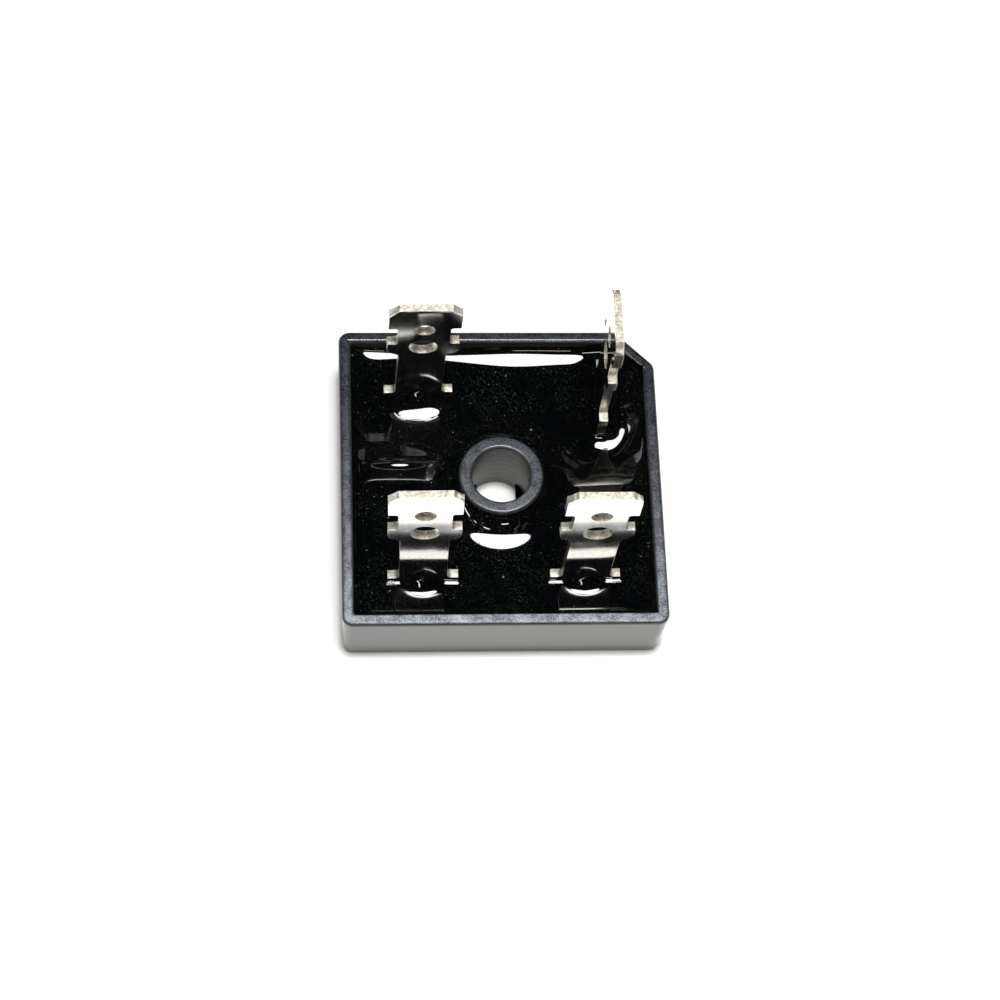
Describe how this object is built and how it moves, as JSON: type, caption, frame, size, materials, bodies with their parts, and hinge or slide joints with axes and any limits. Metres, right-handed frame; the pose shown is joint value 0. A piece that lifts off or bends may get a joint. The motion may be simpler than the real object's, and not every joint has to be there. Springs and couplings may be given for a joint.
{
  "type": "bridge rectifier",
  "caption": "Square potted bridge rectifier: black moulded tray with a bevelled corner and a central screw hole, filled with glossy resin, with upright tinned quick-connect tabs.",
  "frame": {"origin": "centre of the screw hole on the base plane", "axes": "+Z out of the open side of the tray, along the screw hole; +X to the right and +Y to the rear, with the bevelled plus corner at +X +Y"},
  "size_m": [0.0286, 0.0286, 0.0228],
  "materials": {
    "case_plastic": "moulded, fine matte grain",
    "casting_resin": "cast, high gloss, with dust and fine scratches",
    "tinned_tab": "bright tin plate on stamped copper alloy, sheared edges",
    "spreader_metal": "rolled, bright",
    "ceramic_tile": "fired alumina, matte",
    "copper": "rolled copper",
    "silicon": "polished silicon",
    "solder": "soft solder, satin"
  },
  "bodies": {
    "root": {"case": "case_plastic", "heat_spreader": "spreader_metal", "insulator_minus": "ceramic_tile", "insulator_plus": "ceramic_tile", "minus_bus": "copper", "plus_bus": "copper", "ac_strap_rear": "copper", "ac_strap_front": "copper", "potting_compound": "casting_resin", "die_rear_plus": "silicon", "solder_under_rear_plus": "solder", "solder_over_rear_plus": "solder", "die_front_plus": "silicon", "solder_under_front_plus": "solder", "solder_over_front_plus": "solder", "die_rear_minus": "silicon", "solder_under_rear_minus": "solder", "solder_over_rear_minus": "solder", "die_front_minus": "silicon", "solder_under_front_minus": "solder", "solder_over_front_minus": "solder", "terminal_plus": "tinned_tab", "solder_foot_plus": "solder", "terminal_minus": "tinned_tab", "solder_foot_minus": "solder", "terminal_ac_rear": "tinned_tab", "solder_foot_ac_rear": "solder", "terminal_ac_front": "tinned_tab", "solder_foot_ac_front": "solder"}
  },
  "joints": []
}
